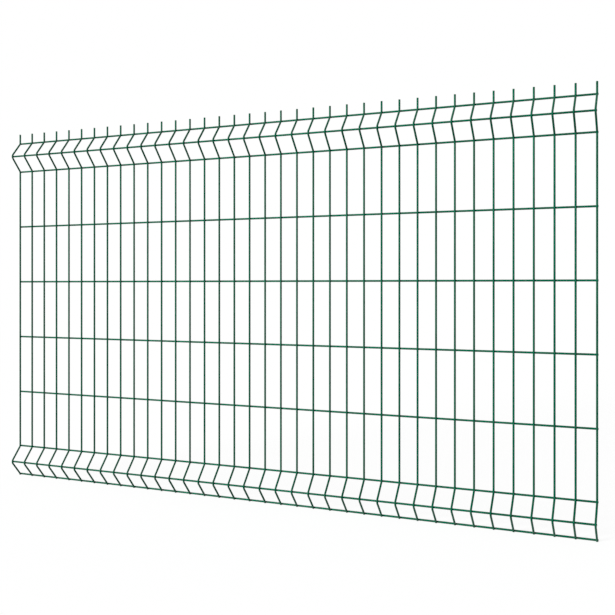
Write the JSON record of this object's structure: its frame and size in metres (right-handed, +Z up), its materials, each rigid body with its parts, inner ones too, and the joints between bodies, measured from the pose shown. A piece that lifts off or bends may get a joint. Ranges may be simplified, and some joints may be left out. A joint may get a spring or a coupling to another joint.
{
  "type": "welded mesh fence panel",
  "caption": "Rigid welded mesh fence panel with two V-shaped folds and barbed top edge, green coated, clipped to posts along its side edges.",
  "frame": {"origin": "on the back of the foot wire, behind the left edge wire, in the plane where the panel bears on a post", "axes": "+X along the panel from its left edge to its right, +Y from the front, where the folds stand out, to the back, +Z up"},
  "size_m": [2.005, 0.0506, 1.2387],
  "materials": {
    "coated_wire": "satin green plastic coat over galvanised steel wire"
  },
  "bodies": {
    "root": {"mesh_panel": "coated_wire"}
  },
  "joints": []
}
